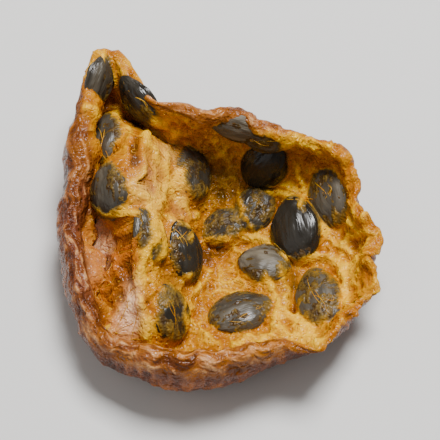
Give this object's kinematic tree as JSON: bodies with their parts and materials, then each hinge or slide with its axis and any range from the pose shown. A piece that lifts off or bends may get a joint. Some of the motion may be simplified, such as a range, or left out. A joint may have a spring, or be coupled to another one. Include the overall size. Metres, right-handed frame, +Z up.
{
  "type": "dried passion fruit half",
  "caption": "Shrivelled cup of dried passion fruit rind and pulp with its seeds, open at the top, with a side wing behind a fold.",
  "frame": {"origin": "centre of the bounding box in plan, at the height that the piece rests on", "axes": "+Z up out of the open cup, +Y towards the tall back wall, +X towards the torn edge, the side wing at -X"},
  "size_m": [0.0338, 0.0368, 0.0122],
  "materials": {
    "dried_fruit": "satin"
  },
  "bodies": {
    "root": {"dried_half": "dried_fruit"}
  },
  "joints": []
}
